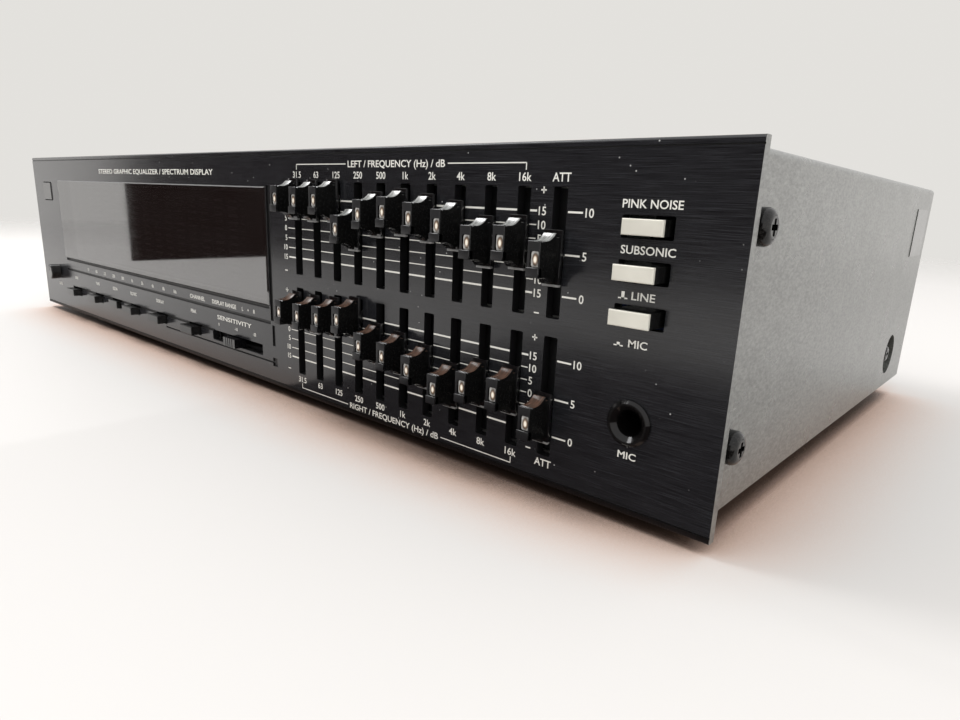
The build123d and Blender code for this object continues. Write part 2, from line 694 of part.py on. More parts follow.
with BuildPart() as feet:
    with BuildSketch(Plane.XY):
        with Locations(*FOOT_SPOTS):
            Circle(9.5)
    extrude(amount=FOOT_H)
    chamfer(feet.faces().group_by(Axis.Z)[0].edges(), 1.0)
    with BuildSketch(Plane.XY):
        with Locations(*FOOT_SPOTS):
            Circle(4.5)
    extrude(amount=4.5, mode=Mode.SUBTRACT)
    with BuildSketch(Plane.XY):
        with Locations(*FOOT_SPOTS):
            Circle(1.7)
    extrude(amount=FOOT_H, mode=Mode.SUBTRACT)
save(feet.part, "feet")

# ---------------------------------------------------------------- phono block and cord gland
PHONO_PLATE_Y = REAR_Y + PHONO_PLATE_T
PHONO_END = CASE_REAR + PHONO_REACH
with GridLocations(PHONO_PITCH, PHONO_PITCH, 4, 2) as phono_grid:
    PHONO_SPOTS = [
        (at_x(PHONO_X) + place.position.X, at_z(PHONO_Z) + place.position.Y)
        for place in phono_grid.local_locations
    ]

with BuildPart() as rca_block:
    with BuildSketch(front(PHONO_PLATE_Y)):
        with Locations(spot(PHONO_X, PHONO_Z)):
            RectangleRounded(PHONO_BODY_W + 18.0, PHONO_BODY_H + 6.0, 2.0)
    extrude(amount=PHONO_PLATE_T)
    with BuildSketch(front(REAR_Y)):
        with Locations(spot(PHONO_X, PHONO_Z)):
            Rectangle(PHONO_BODY_W, PHONO_BODY_H)
    extrude(amount=12.0)
    with BuildSketch(front(PHONO_END - 0.8)):
        with Locations(*PHONO_SPOTS):
            Circle(3.0)
    extrude(amount=PHONO_END - 0.8 - PHONO_PLATE_Y)
    with BuildSketch(front(PHONO_END)):
        with Locations(*PHONO_SPOTS):
            Circle(1.6)
    extrude(amount=9.5, mode=Mode.SUBTRACT)
    with BuildSketch(front(PHONO_PLATE_Y)):
        with Locations(*PHONO_SCREW_SPOTS):
            Circle(1.6)
    extrude(amount=PHONO_PLATE_T, mode=Mode.SUBTRACT)
save(rca_block.part, "rca_block")

PHONO_FLANGE_T = 0.8
with BuildPart() as rca_shells:
    with BuildSketch(front(PHONO_PLATE_Y + PHONO_FLANGE_T)):
        with Locations(*PHONO_SPOTS):
            Circle(5.6)
    extrude(amount=PHONO_FLANGE_T)
    with BuildSketch(front(PHONO_END)):
        with Locations(*PHONO_SPOTS):
            Circle(PHONO_R)
    extrude(amount=PHONO_END - PHONO_PLATE_Y)
    with BuildSketch(front(PHONO_END)):
        with Locations(*PHONO_SPOTS):
            Circle(3.0)
    extrude(amount=PHONO_END - PHONO_PLATE_Y, mode=Mode.SUBTRACT)
save(rca_shells.part, "rca_shells")

GLAND_BACK = REAR_Y - 8.0
GLAND_END = REAR_Y + 5.0
with BuildPart() as cord_gland:
    with BuildSketch(front(GLAND_END)):
        with Locations(spot(GLAND_X, GLAND_Z)):
            Circle(7.5)
    extrude(amount=GLAND_END - REAR_Y)
    chamfer(cord_gland.faces().sort_by(Axis.Y)[-1].edges(), 1.5)
    with BuildSketch(front(REAR_Y)):
        with Locations(spot(GLAND_X, GLAND_Z)):
            Circle(5.9)
    extrude(amount=REAR_Y - GLAND_BACK)
    with BuildSketch(front(GLAND_END)):
        with Locations(spot(GLAND_X, GLAND_Z)):
            Circle(GLAND_R)
    extrude(amount=GLAND_END - GLAND_BACK, mode=Mode.SUBTRACT)
save(cord_gland.part, "cord_gland")

# ---------------------------------------------------------------- inside the case
with BuildPart() as main_board:
    with BuildSketch(Plane.XY.offset(BOARD_BOTTOM)):
        with Locations(BOARD_MIDDLE):
            Rectangle(BOARD_W, BOARD_D)
        with Locations(*BOARD_SPOTS):
            Circle(1.6, mode=Mode.SUBTRACT)
    extrude(amount=1.6)
save(main_board.part, "main_board")

with BuildPart() as board_capacitors:
    with BuildSketch(Plane.XY.offset(BOARD_TOP)):
        with Locations((-22.0, at_y(75.0)), (-22.0, at_y(103.0))):
            Circle(11.0)
    extrude(amount=32.0)
    with BuildSketch(Plane.XY.offset(BOARD_TOP)):
        with Locations((95.0, at_y(160.0))):
            with GridLocations(16.0, 12.0, 10, 1):
                Circle(4.0)
    extrude(amount=12.0)
    fillet(board_capacitors.faces().filter_by(Axis.Z).group_by(Axis.Z)[-1].edges(), 1.0)
save(board_capacitors.part, "board_capacitors")

with BuildPart() as board_chips:
    with BuildSketch(Plane.XY.offset(BOARD_TOP)):
        with Locations((95.0, at_y(100.0))):
            with GridLocations(30.0, 30.0, 5, 3):
                Rectangle(20.0, 6.6)
    extrude(amount=4.0)
save(board_chips.part, "board_chips")

CORE_W = 66.0
CORE_H = 55.0
CORE_D = 36.0
WINDING_W = 11.0            # width of each opening in the core
WINDING_H = 33.0
LIMB_W = 22.0
CORE_MIDDLE_Z = FLOOR_TOP + 2.0 + CORE_H / 2
core_back = Plane.XZ.offset(-(TRANSFORMER_Y + CORE_D / 2))

with BuildPart() as transformer_core:
    with BuildSketch(core_back):
        with Locations((TRANSFORMER_X, CORE_MIDDLE_Z)):
            Rectangle(CORE_W, CORE_H)
            with Locations((-(LIMB_W + WINDING_W) / 2, 0), ((LIMB_W + WINDING_W) / 2, 0)):
                Rectangle(WINDING_W, WINDING_H, mode=Mode.SUBTRACT)
    extrude(amount=CORE_D)
    with BuildSketch(Plane.XY.offset(FLOOR_TOP)):
        with Locations((TRANSFORMER_X, TRANSFORMER_Y)):
            Rectangle(CORE_W + 20.0, CORE_D)
        with Locations(*TRANSFORMER_LUGS):
            Circle(1.6, mode=Mode.SUBTRACT)
    extrude(amount=2.0)
save(transformer_core.part, "transformer_core")

with BuildPart() as transformer_coil:
    with BuildSketch(Plane.XY.offset(CORE_MIDDLE_Z - WINDING_H / 2 + 0.3)):
        with Locations((TRANSFORMER_X, TRANSFORMER_Y)):
            RectangleRounded(LIMB_W + 2 * WINDING_W - 0.8, CORE_D + 2 * WINDING_W - 0.8, 4.0)
            Rectangle(LIMB_W + 0.2, CORE_D + 0.2, mode=Mode.SUBTRACT)
    extrude(amount=WINDING_H - 0.6)
save(transformer_coil.part, "transformer_coil")

# ---------------------------------------------------------------- screws
COVER_HEAD_R = 4.0
COVER_HEAD_H = 3.2
side_screw = pan_screw(COVER_HEAD_R, COVER_HEAD_H, 1.9, 8.0)
recess_screw = pan_screw(3.5, 2.4, 1.9, 8.0)
with BuildPart() as cover_screws:
    for side in (-1, 1):
        seats = [
            Plane(origin=(side * SIDE_X, y, z), x_dir=(0, 0, 1), z_dir=(side, 0, 0))
            for y, z in SIDE_SCREW_SPOTS
        ]
        with Locations(*seats):
            add(side_screw)
        recess_floor = SIDE_X - RECESS_DEPTH + SHEET
        with Locations(
            Plane(origin=(side * recess_floor, *RECESS_SPOT), x_dir=(0, 0, 1), z_dir=(side, 0, 0))
        ):
            add(recess_screw)
save(cover_screws.part, "cover_screws")

small_screw = pan_screw(2.8, 2.0, 1.45, 6.0)
with BuildPart() as m3_screws:
    with Locations(*(Plane(origin=(x, y, 4.5), z_dir=(0, 0, -1)) for x, y in FOOT_SPOTS)):
        add(small_screw)
    with Locations(*((x, y, BOARD_TOP) for x, y in BOARD_SPOTS)):
        add(small_screw)
    with Locations(*((x, y, FLOOR_TOP + 2.0) for x, y in TRANSFORMER_LUGS)):
        add(small_screw)
    rear_seats = [Plane(origin=(x, at_y(REAR_Y), REAR_SCREW_Z), z_dir=(0, 1, 0)) for x in REAR_SCREW_X]
    phono_seats = [
        Plane(origin=(x, at_y(PHONO_PLATE_Y), z), z_dir=(0, 1, 0)) for x, z in PHONO_SCREW_SPOTS
    ]
    with Locations(*rear_seats, *phono_seats):
        add(small_screw)
save(m3_screws.part, "m3_screws")
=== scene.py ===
"""The looks of the stereo graphic equalizer, built around its CAD frame.

Sizes are given in millimetres and turned into metres by MM. Places on the front are given as on a
drawing of the panel: x from its left edge, z from its lower edge, y backwards from its face.
"""

import json
import math

import bmesh
import bpy
from mathutils import Euler, Matrix, Vector


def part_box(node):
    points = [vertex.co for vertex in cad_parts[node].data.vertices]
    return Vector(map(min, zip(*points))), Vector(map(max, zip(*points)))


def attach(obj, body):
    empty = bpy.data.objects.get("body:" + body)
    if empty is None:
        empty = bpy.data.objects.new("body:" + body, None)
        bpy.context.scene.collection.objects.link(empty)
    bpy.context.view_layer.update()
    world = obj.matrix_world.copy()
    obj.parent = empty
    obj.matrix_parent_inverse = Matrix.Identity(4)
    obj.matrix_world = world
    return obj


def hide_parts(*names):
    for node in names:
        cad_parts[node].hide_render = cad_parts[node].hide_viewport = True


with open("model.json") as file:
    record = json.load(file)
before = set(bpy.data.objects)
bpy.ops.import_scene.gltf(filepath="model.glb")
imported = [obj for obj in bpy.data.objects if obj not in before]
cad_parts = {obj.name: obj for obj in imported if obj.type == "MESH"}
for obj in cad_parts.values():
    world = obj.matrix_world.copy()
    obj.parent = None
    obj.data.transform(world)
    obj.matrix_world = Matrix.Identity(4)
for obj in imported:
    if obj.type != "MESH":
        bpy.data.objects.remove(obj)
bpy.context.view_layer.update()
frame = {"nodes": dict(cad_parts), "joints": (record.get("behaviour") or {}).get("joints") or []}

MM = 0.001
NODES = frame["nodes"]
PANEL_LOW, PANEL_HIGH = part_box("front_panel")
COVER_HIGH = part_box("top_cover")[1]


def at(x, y, z):
    """A place on the panel drawing, in millimetres, as a point of the frame."""
    return Vector((PANEL_LOW.x + x * MM, PANEL_LOW.y + y * MM, PANEL_LOW.z + z * MM))


def drawing_x(node):
    """The middle of a CAD node, as a place x on the panel drawing."""
    low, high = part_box(node)
    return ((low.x + high.x) / 2 - PANEL_LOW.x) / MM


# ---------------------------------------------------------------- camera, light and floor
CAMERA_LENS = 24.94         # focal length in millimetres, on a 36 mm wide sensor
CAMERA_SHIFT = (-0.00495, 0.02117)
CAMERA_PLACE = (48.4, -134.17, 70.94)       # millimetres from the panel's lower right corner
CAMERA_TURN = (75.140, -2.431, 41.409)      # degrees about x, y and z

ROOM_LIGHT = 1.12           # the white room's brightness, on the backdrop's scale
ROOM_LOW = (1.0, 0.975, 0.945)              # its colour from below, a little warm
ROOM_HIGH = (1.0, 1.0, 1.0)
BACKDROP = (0.77, 0.755, 0.725)             # what the camera sees behind the object

# The dark card that gloss mirrors: where it stands, and where its flat part, a painted shadow on the floor in
# front, lies, as (x, y) on the panel drawing.
DARK_FEET = ((-266, -155), (-266, -319), (-150, -406), (60, -470), (700, -520))
FLOOR_SHADE_SHEET = ((255, -4), (640, -4), (640, -520), (400, -520), (400, -170), (255, -170))
DARK_HEIGHT = 0.30
DARK_COLOUR = (0.026, 0.0135, 0.0118)
AIM = (0, 0, 0.03)          # the lights point here, inside the object


def make_camera():
    data = bpy.data.cameras.new("camera")
    data.sensor_width = 36.0
    data.lens = CAMERA_LENS
    data.shift_x, data.shift_y = CAMERA_SHIFT
    data.clip_start = 0.01
    camera = bpy.data.objects.new("camera", data)
    corner = Vector((PANEL_HIGH.x, PANEL_LOW.y, PANEL_LOW.z))
    camera.location = corner + Vector(CAMERA_PLACE) * MM
    camera.rotation_euler = Euler([math.radians(a) for a in CAMERA_TURN])
    bpy.context.scene.collection.objects.link(camera)
    bpy.context.scene.camera = camera


def make_world():
    """A white room: soft light from everywhere, a little warmer low down."""
    world = bpy.data.worlds.new("studio")
    world.use_nodes = True
    bpy.context.scene.world = world
    nodes, links = world.node_tree.nodes, world.node_tree.links
    background = nodes["Background"]
    place = nodes.new("ShaderNodeTexCoord")
    split = nodes.new("ShaderNodeSeparateXYZ")
    links.new(place.outputs["Generated"], split.inputs[0])
    ramp = nodes.new("ShaderNodeValToRGB")
    links.new(split.outputs["Z"], ramp.inputs[0])
    ramp.color_ramp.elements[0].position = 0.0
    ramp.color_ramp.elements[0].color = (*ROOM_LOW, 1)
    ramp.color_ramp.elements[1].position = 0.7
    ramp.color_ramp.elements[1].color = (*ROOM_HIGH, 1)
    rays = nodes.new("ShaderNodeLightPath")
    mix = nodes.new("ShaderNodeMix")
    mix.data_type = "RGBA"
    links.new(rays.outputs["Is Camera Ray"], mix.inputs["Factor"])
    links.new(ramp.outputs["Color"], mix.inputs["A"])
    mix.inputs["B"].default_value = (*BACKDROP, 1)
    links.new(mix.outputs["Result"], background.inputs["Color"])
    brightness = nodes.new("ShaderNodeMapRange")
    brightness.inputs["To Min"].default_value = ROOM_LIGHT
    brightness.inputs["To Max"].default_value = 1.0
    links.new(rays.outputs["Is Camera Ray"], brightness.inputs["Value"])
    links.new(brightness.outputs["Result"], background.inputs["Strength"])


def make_light(name, place, size, watts, mirrored=True):
    """A round soft light. One that isn't mirrored lights surfaces without showing in their gloss."""
    data = bpy.data.lights.new(name, "AREA")
    data.shape = "DISK"
    data.size = size
    data.energy = watts
    light = bpy.data.objects.new(name, data)
    light.location = place
    light.rotation_euler = (Vector(AIM) - Vector(place)).to_track_quat("-Z", "Y").to_euler()
    light.visible_glossy = mirrored
    bpy.context.scene.collection.objects.link(light)


def make_floor():
    """A pale table top that fades out into the backdrop."""
    bm = bmesh.new()
    bmesh.ops.create_circle(bm, cap_ends=True, segments=96, radius=2.4)
    floor = new_object("floor", bm, [floor_finish()])
    floor.location = (0, 0, -0.0001)


def make_dark_room():
    """The dark part of the room in front of the object. Only glossy surfaces mirror it.

    It is an upright card, and a flat part that lies just over the floor: a dark sheet for the shadow on the
    floor in front, painted shade that only gloss shows.
    """

    def spots(places, height):
        return [Vector((at(x, y, 0).x, at(x, y, 0).y, height)) for x, y in places]

    bm = bmesh.new()
    foot = [bm.verts.new(spot) for spot in spots(DARK_FEET, 0)]
    head = [bm.verts.new(spot) for spot in spots(DARK_FEET, DARK_HEIGHT)]
    for i in range(len(foot) - 1):
        bm.faces.new((foot[i], foot[i + 1], head[i + 1], head[i]))
    # The flat part: painted shadow on the floor in front, which only gloss mirrors.
    bm.faces.new([bm.verts.new(spot) for spot in spots(FLOOR_SHADE_SHEET, 1 * MM)])
    card = new_object("dark_room", bm, [glow("dark_room", DARK_COLOUR, 1.0)])
    card.visible_camera = False
    card.visible_diffuse = False
    card.visible_shadow = False
    card.visible_transmission = False


# ---------------------------------------------------------------- mesh helpers
def new_object(name, bm, materials, smooth=35):
    """Makes an object of a bmesh, smooth except at edges sharper than smooth degrees."""
    mesh = bpy.data.meshes.new(name)
    bm.to_mesh(mesh)
    bm.free()
    for material in materials:
        mesh.materials.append(material)
    shade(mesh, smooth)
    made = bpy.data.objects.new(name, mesh)
    bpy.context.scene.collection.objects.link(made)
    return made


def shade(mesh, smooth=35):
    mesh.polygons.foreach_set("use_smooth", [True] * len(mesh.polygons))
    mesh.set_sharp_from_angle(angle=math.radians(smooth))


def bevel_sharp(bm, edges, width, segments=2, sharper=30):
    """Rounds those edges that turn by more than sharper degrees."""
    sharp = [e for e in edges if e.is_manifold and e.calc_face_angle(0) > math.radians(sharper)]
    bmesh.ops.bevel(
        bm, geom=sharp, offset=width, segments=segments, affect="EDGES", clamp_overlap=True, profile=0.5
    )


def add_block(bm, low, high, bevel=0.0, slot=0, segments=2):
    """Adds a block with rounded edges to bm."""
    low, high = Vector(low), Vector(high)
    middle, size = (low + high) / 2, high - low
    part = bmesh.new()
    bmesh.ops.create_cube(part, size=1.0, matrix=Matrix.Translation(middle) @ Matrix.Diagonal((*size, 1)))
    if bevel:
        bevel_sharp(part, part.edges[:], bevel, segments)
    join(bm, part, slot)


def add_prism(bm, outline, x0, x1, bevel=0.0, slot=0, segments=2):
    """Adds an outline of (y, z) points, drawn out from x0 to x1, to bm."""
    part = bmesh.new()
    near = [part.verts.new((x0, y, z)) for y, z in outline]
    far = [part.verts.new((x1, y, z)) for y, z in outline]
    part.faces.new(near)
    part.faces.new(far[::-1])
    for i in range(len(outline)):
        j = (i + 1) % len(outline)
        part.faces.new((near[j], near[i], far[i], far[j]))
    bmesh.ops.recalc_face_normals(part, faces=part.faces[:])
    if bevel:
        bevel_sharp(part, part.edges[:], bevel, segments)
    join(bm, part, slot)


def join(bm, part, slot=0):
    """Moves all of part into bm, with its faces in that material slot."""
    for face in part.faces:
        face.material_index = slot
    scratch = bpy.data.meshes.new("scratch")
    part.to_mesh(scratch)
    part.free()
    bm.from_mesh(scratch)
    bpy.data.meshes.remove(scratch)


# ---------------------------------------------------------------- material helpers
class Finish:
    """A node material: one Principled shader and the patterns that feed it.

    Patterns are laid out in the object's own metres.
    """

    def __init__(self, name, sockets):
        self.material = bpy.data.materials.new(name)
        self.material.use_nodes = True
        self.tree = self.material.node_tree
        self.shader = self.tree.nodes["Principled BSDF"]
        self.place = self.add("ShaderNodeTexCoord").outputs["Object"]
        for socket, value in sockets.items():
            self.shader.inputs[socket].default_value = value

    def add(self, kind, **inputs):
        node = self.tree.nodes.new(kind)
        for socket, value in inputs.items():
            node.inputs[socket].default_value = value
        return node

    def link(self, source, target):
        self.tree.links.new(source, target)

    def placed(self, stretch=(1, 1, 1), shift=(0, 0, 0)):
        mapping = self.add("ShaderNodeMapping", Scale=stretch, Location=shift)
        self.link(self.place, mapping.inputs["Vector"])
        return mapping.outputs["Vector"]

    def noise(self, scale, stretch=(1, 1, 1), detail=3.0, rough=0.5):
        node = self.add("ShaderNodeTexNoise", Scale=scale, Detail=detail, Roughness=rough)
        self.link(self.placed(stretch), node.inputs["Vector"])
        return node.outputs["Fac"]

    def cells(self, scale, output="Distance"):
        node = self.add("ShaderNodeTexVoronoi", Scale=scale)
        self.link(self.placed(), node.inputs["Vector"])
        return node.outputs[output]

    def ramp(self, source, *stops):
        """Colours or grey values at places from 0 to 1 along source."""
        node = self.add("ShaderNodeValToRGB")
        self.link(source, node.inputs["Fac"])
        line = node.color_ramp.elements
        while len(line) < len(stops):
            line.new(0.5)
        for element, (spot, value) in zip(line, stops):
            element.position = spot
            element.color = (*value, 1) if isinstance(value, tuple) else (value, value, value, 1)
        return node.outputs["Color"]

    def remap(self, source, low, high, start=0.0, end=1.0):
        node = self.add("ShaderNodeMapRange")
        for socket, value in (("From Min", low), ("From Max", high), ("To Min", start), ("To Max", end)):
            node.inputs[socket].default_value = value
        self.link(source, node.inputs["Value"])
        return node.outputs["Result"]

    def math(self, operation, a, b=0.0):
        node = self.add("ShaderNodeMath")
        node.operation = operation
        for socket, value in zip(node.inputs, (a, b)):
            if isinstance(value, float):
                socket.default_value = value
            else:
                self.link(value, socket)
        return node.outputs[0]

    def blend(self, factor, a, b):
        """Mixes two colours, each a tuple or a pattern, by factor."""
        node = self.add("ShaderNodeMix")
        node.data_type = "RGBA"
        self.link(factor, node.inputs["Factor"])
        for socket, value in (("A", a), ("B", b)):
            if isinstance(value, tuple):
                node.inputs[socket].default_value = (*value, 1)
            else:
                self.link(value, node.inputs[socket])
        return node.outputs["Result"]

    def colour(self, source):
        self.link(source, self.shader.inputs["Base Color"])

    def roughness(self, source, low, high):
        self.link(self.remap(source, 0.3, 0.7, low, high), self.shader.inputs["Roughness"])

    def bump(self, source, height, strength=1.0):
        """Raises the surface by a pattern. A second bump lies on top of the first."""
        node = self.add("ShaderNodeBump", Strength=strength, Distance=height)
        self.link(source, node.inputs["Height"])
        normal = self.shader.inputs["Normal"]
        if normal.is_linked:
            self.link(normal.links[0].from_socket, node.inputs["Normal"])
        self.link(node.outputs["Normal"], normal)


def glow(name, colour, strength):
    finish = Finish(name, {"Base Color": (0, 0, 0, 1), "Specular IOR Level": 0.0})
    finish.shader.inputs["Emission Color"].default_value = (*colour, 1)
    finish.shader.inputs["Emission Strength"].default_value = strength
    return finish.material


def floor_finish():
    """Matt white laminate with a painted contact shadow: ambient occlusion turns its colour darker and warmer
    close to the object. It fades out far from it.
    """
    finish = Finish("floor", {"Roughness": 0.6, "Specular IOR Level": 0.2})
    near = finish.add("ShaderNodeAmbientOcclusion", Distance=0.05)
    near.samples = 8
    # Painted contact shadow: dark brown in the occluded gap under the object, warm brown round it, white
    # further off.
    finish.colour(
        finish.ramp(
            near.outputs["AO"],
            (0.36, (0.05, 0.03, 0.022)),
            (0.54, (0.66, 0.47, 0.38)),
            (0.82, (0.65, 0.632, 0.615)),
        )
    )
    length = finish.add("ShaderNodeVectorMath")
    length.operation = "LENGTH"
    finish.link(finish.place, length.inputs[0])
    fade = finish.remap(length.outputs["Value"], 0.75, 1.6, 1.0, 0.0)
    finish.link(fade, finish.shader.inputs["Alpha"])
    finish.bump(finish.noise(260.0, detail=2.0), 0.00002, 0.3)
    return finish.material


# ---------------------------------------------------------------- finishes
def anodised_panel():
    """Black anodised aluminium, brushed along its length."""
    finish = Finish("black_anodised_panel", {"IOR": 1.62})
    brush = finish.noise(1.0, (90, 60, 6500), detail=5.0, rough=0.75)
    broad = finish.noise(1.0, (70, 60, 3400), detail=3.0)
    specks = finish.remap(finish.cells(330.0), 0.045, 0.070, 1.0, 0.0)
    patches = finish.remap(finish.noise(45.0, detail=2.0), 0.48, 0.56)
    aluminium = finish.ramp(brush, (0.30, (0.001, 0.001, 0.0015)), (0.70, (0.027, 0.028, 0.032)))
    finish.colour(finish.blend(finish.math("MULTIPLY", specks, patches), aluminium, (0.45, 0.45, 0.44)))
    streaks = finish.math("ADD", finish.math("MULTIPLY", brush, 0.6), finish.math("MULTIPLY", broad, 0.4))
    finish.roughness(streaks, 0.12, 0.26)
    finish.bump(brush, 0.00001, 0.28)
    return finish.material


def panel_edge():
    """The panel's cut edges and the floors of its grooves."""
    finish = Finish("panel_edge", {"IOR": 1.5})
    grain = finish.noise(2500.0, detail=3.0)
    finish.colour(finish.ramp(grain, (0.3, (0.004, 0.004, 0.004)), (0.8, (0.011, 0.011, 0.012))))
    finish.roughness(grain, 0.38, 0.55)
    finish.bump(grain, 0.00001, 0.3)
    return finish.material


def smoked_window():
    """Glossy smoked acrylic, with a haze of fine wiping marks."""
    finish = Finish("smoked_window", {"IOR": 3.1, "Alpha": 0.80})
    haze = finish.noise(40.0, (1, 1, 3), detail=4.0)
    finish.colour(finish.ramp(haze, (0.3, (0.007, 0.006, 0.006)), (0.7, (0.010, 0.009, 0.009))))
    finish.roughness(haze, 0.025, 0.05)
    finish.bump(finish.noise(25.0, detail=1.0), 0.0001, 0.12)
    return finish.material


def display_glass():
    """The dark glass and getter of the display tube."""
    finish = Finish("display_glass", {"IOR": 1.5})
    grain = finish.noise(300.0, detail=2.0)
    finish.colour(finish.ramp(grain, (0.3, (0.012, 0.013, 0.014)), (0.7, (0.02, 0.021, 0.022))))
    finish.roughness(grain, 0.06, 0.12)
    return finish.material


# The default light colour lifts black enamel to a mid grey: painted reflection of the bright room on the
# case's glossy sides. The peel's mottle between dark and light is the enamel's own.
def enamel(name="black_enamel", dark=(0.006, 0.007, 0.005), light=(0.130, 0.134, 0.122)):
    """Black enamel with a fine orange-peel surface."""
    finish = Finish(name, {"IOR": 2.2})
    peel = finish.noise(1.0, (1100, 620, 1500), detail=3.0, rough=0.6)
    broad = finish.noise(80.0, detail=2.0)
    finish.colour(finish.ramp(peel, (0.28, dark), (0.72, light)))
    finish.roughness(broad, 0.27, 0.30)
    finish.bump(peel, 0.00002, 0.25)
    return finish.material


def zinc_steel():
    """Zinc-plated sheet steel with a faint spangle."""
    finish = Finish("zinc_steel", {"Metallic": 1.0})
    spangle = finish.cells(160.0, output="Color")
    grain = finish.noise(1.0, (300, 4000, 4000), detail=3.0)
    shade_of = finish.add("ShaderNodeRGBToBW")
    finish.link(spangle, shade_of.inputs[0])
    tone = finish.math("ADD", finish.math("MULTIPLY", shade_of.outputs[0], 0.3), grain)
    finish.colour(finish.ramp(tone, (0.3, (0.50, 0.50, 0.48)), (0.9, (0.68, 0.68, 0.66))))
    finish.roughness(tone, 0.28, 0.42)
    finish.bump(grain, 0.00001, 0.3)
    return finish.material


def circuit_board():
    """Green solder mask over copper tracks."""
    finish = Finish("circuit_board", {"IOR": 1.5, "Roughness": 0.3})
    tracks = finish.add("ShaderNodeTexBrick", Scale=90.0)
    tracks.inputs["Mortar Size"].default_value = 0.012
    tracks.offset = 0.37
    finish.link(finish.placed(), tracks.inputs["Vector"])
    pads = finish.remap(finish.cells(240.0), 0.10, 0.16, 1.0, 0.0)
    mask = finish.blend(tracks.outputs["Fac"], (0.02, 0.075, 0.028), (0.05, 0.16, 0.05))
    finish.colour(finish.blend(pads, mask, (0.42, 0.40, 0.34)))
    finish.bump(tracks.outputs["Fac"], 0.00003, 0.6)
    return finish.material


def moulding(name, dark, light, rough, scale=1400.0, height=0.00002, ior=1.5):
    """Moulded plastic, rubber or epoxy: a fine grain in colour, gloss and relief."""
    finish = Finish(name, {"IOR": ior})
    grain = finish.noise(scale, detail=4.0, rough=0.6)
    broad = finish.noise(scale / 20, detail=2.0)
    tone = finish.math("ADD", finish.math("MULTIPLY", grain, 0.6), finish.math("MULTIPLY", broad, 0.4))
    finish.colour(finish.ramp(tone, (0.3, dark), (0.7, light)))
    finish.roughness(tone, rough * 0.85, rough * 1.15)
    finish.bump(grain, height, 0.3)
    return finish.material


def screw_steel():
    """Blackened steel, worn to bare metal in places."""
    finish = Finish("black_screw_steel", {"IOR": 1.38})
    wear = finish.noise(1600.0, detail=5.0, rough=0.7)
    finish.colour(finish.ramp(wear, (0.45, (0.004, 0.004, 0.004)), (0.8, (0.03, 0.028, 0.026))))
    finish.roughness(wear, 0.10, 0.20)
    finish.bump(wear, 0.000004, 0.3)
    return finish.material


def nickel():
    finish = Finish("nickel_plate", {"Metallic": 1.0})
    stain = finish.noise(500.0, detail=3.0)
    finish.colour(finish.ramp(stain, (0.3, (0.62, 0.60, 0.54)), (0.7, (0.78, 0.76, 0.70))))
    finish.roughness(stain, 0.12, 0.25)
    finish.bump(stain, 0.000004, 0.3)
    return finish.material


def laminations():
    """The edges of stacked core plates, varnished."""
    finish = Finish("core_laminations", {"Metallic": 0.5})
    plates = finish.noise(1.0, (30, 2400, 30), detail=2.0)
    finish.colour(finish.ramp(plates, (0.35, (0.05, 0.046, 0.042)), (0.65, (0.22, 0.20, 0.18))))
    finish.roughness(plates, 0.35, 0.55)
    finish.bump(plates, 0.0001, 0.8)
    return finish.material


def winding_tape():
    finish = Finish("winding_tape", {"IOR": 1.5})
    layers = finish.noise(1.0, (60, 60, 700), detail=2.0)
    finish.colour(finish.ramp(layers, (0.3, (0.50, 0.33, 0.06)), (0.7, (0.72, 0.54, 0.14))))
    finish.roughness(layers, 0.22, 0.38)
    finish.bump(layers, 0.00006, 0.5)
    return finish.material


def knob_gloss():
    """Polished black plastic with a little dust on it."""
    finish = Finish("black_knob_plastic", {"IOR": 1.85})
    dust = finish.remap(finish.cells(1100.0), 0.05, 0.11, 1.0, 0.0)
    sparse = finish.remap(finish.noise(300.0, detail=1.0), 0.62, 0.68)
    specks = finish.math("MULTIPLY", dust, sparse)
    finish.colour(finish.blend(specks, (0.004, 0.004, 0.0045), (0.10, 0.10, 0.10)))
    finish.roughness(finish.noise(200.0), 0.10, 0.18)
    return finish.material


def knob_dust(name, light, ior):
    """The knob's upper flare, with a film of dust drawn out along it by the finger. Its light colour is also
    painted reflection of what the flare mirrors, so each row gets its own copy.
    """
    finish = Finish(name, {"IOR": ior})
    film = finish.noise(1.0, (1500, 260, 260), detail=4.0, rough=0.65)
    finish.colour(finish.ramp(film, (0.34, (0.03, 0.024, 0.02)), (0.62, light)))
    finish.roughness(film, 0.14, 0.30)
    finish.bump(film, 0.000004, 0.3)
    return finish.material


def knob_face():
    """The knob's finely grained front."""
    return moulding("knob_face", (0.008, 0.008, 0.009), (0.016, 0.016, 0.018), 0.42, 3500.0)


def lens_finish():
    """Clear light pipe, with a painted cream glint and a painted brown ring of refraction round it, grey
    towards its rim.
    """
    finish = Finish("lens", {"IOR": 1.5, "Roughness": 0.08, "Coat Weight": 1.0, "Coat Roughness": 0.03})
    oval = finish.placed((1 / (1.15 * MM), 0, 1 / (2.1 * MM)), (-0.45, 0, 0))
    length = finish.add("ShaderNodeVectorMath")
    length.operation = "LENGTH"
    finish.link(oval, length.inputs[0])
    # Painted highlight and refraction: a cream glint in the oval's middle and a brown ring round it; the grey
    # rim is the plastic.
    finish.colour(
        finish.ramp(
            length.outputs["Value"],
            (0.0, (0.98, 0.95, 0.88)),
            (0.28, (0.90, 0.82, 0.68)),
            (0.44, (0.24, 0.16, 0.11)),
            (0.64, (0.10, 0.08, 0.065)),
            (0.82, (0.34, 0.33, 0.31)),
            (1.0, (0.52, 0.51, 0.49)),
        )
    )
    return finish.material


def print_ink():
    """White screen-printed ink."""
    return moulding("print_ink", (0.66, 0.65, 0.60), (0.80, 0.79, 0.74), 0.55, 2500.0, 0.000003)


